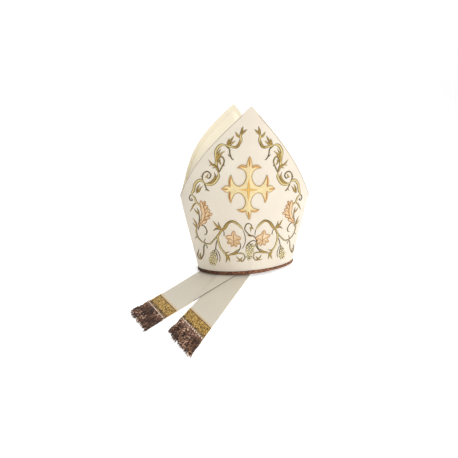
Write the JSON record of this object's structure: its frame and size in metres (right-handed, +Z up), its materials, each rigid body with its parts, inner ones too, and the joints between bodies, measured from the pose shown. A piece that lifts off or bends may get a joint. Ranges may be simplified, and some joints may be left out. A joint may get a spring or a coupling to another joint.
{
  "type": "bishop mitre",
  "caption": "Tall pointed cream cloth mitre with two stiff peaks, soft cloth valley, braided rim, raised cross and two fringed lappets laid out in front.",
  "frame": {"origin": "middle of the whole, with the lappets, on the floor that the mitre stands on", "axes": "+Z up through the peaks, -Y out of the embroidered front, +X to the right of a viewer who faces the front"},
  "size_m": [0.3482, 0.358, 0.345],
  "materials": {
    "panel_cloth": "satin",
    "gusset_cloth": "satin",
    "lappet_cloth": "satin",
    "copper_braid": "woven metallic thread",
    "gold_thread": "satin stitched gold thread",
    "gold_brocade": "woven metallic brocade",
    "fringe_thread": "twisted bullion thread"
  },
  "bodies": {
    "root": {"front_panel": "panel_cloth", "back_panel": "panel_cloth", "crown_gusset": "gusset_cloth", "rim_braid": "copper_braid", "embroidered_cross": "gold_thread", "lappet_left": "lappet_cloth", "lappet_right": "lappet_cloth", "gold_band_left": "gold_brocade", "gold_band_right": "gold_brocade", "fringe_left": "fringe_thread", "fringe_right": "fringe_thread"}
  },
  "joints": []
}
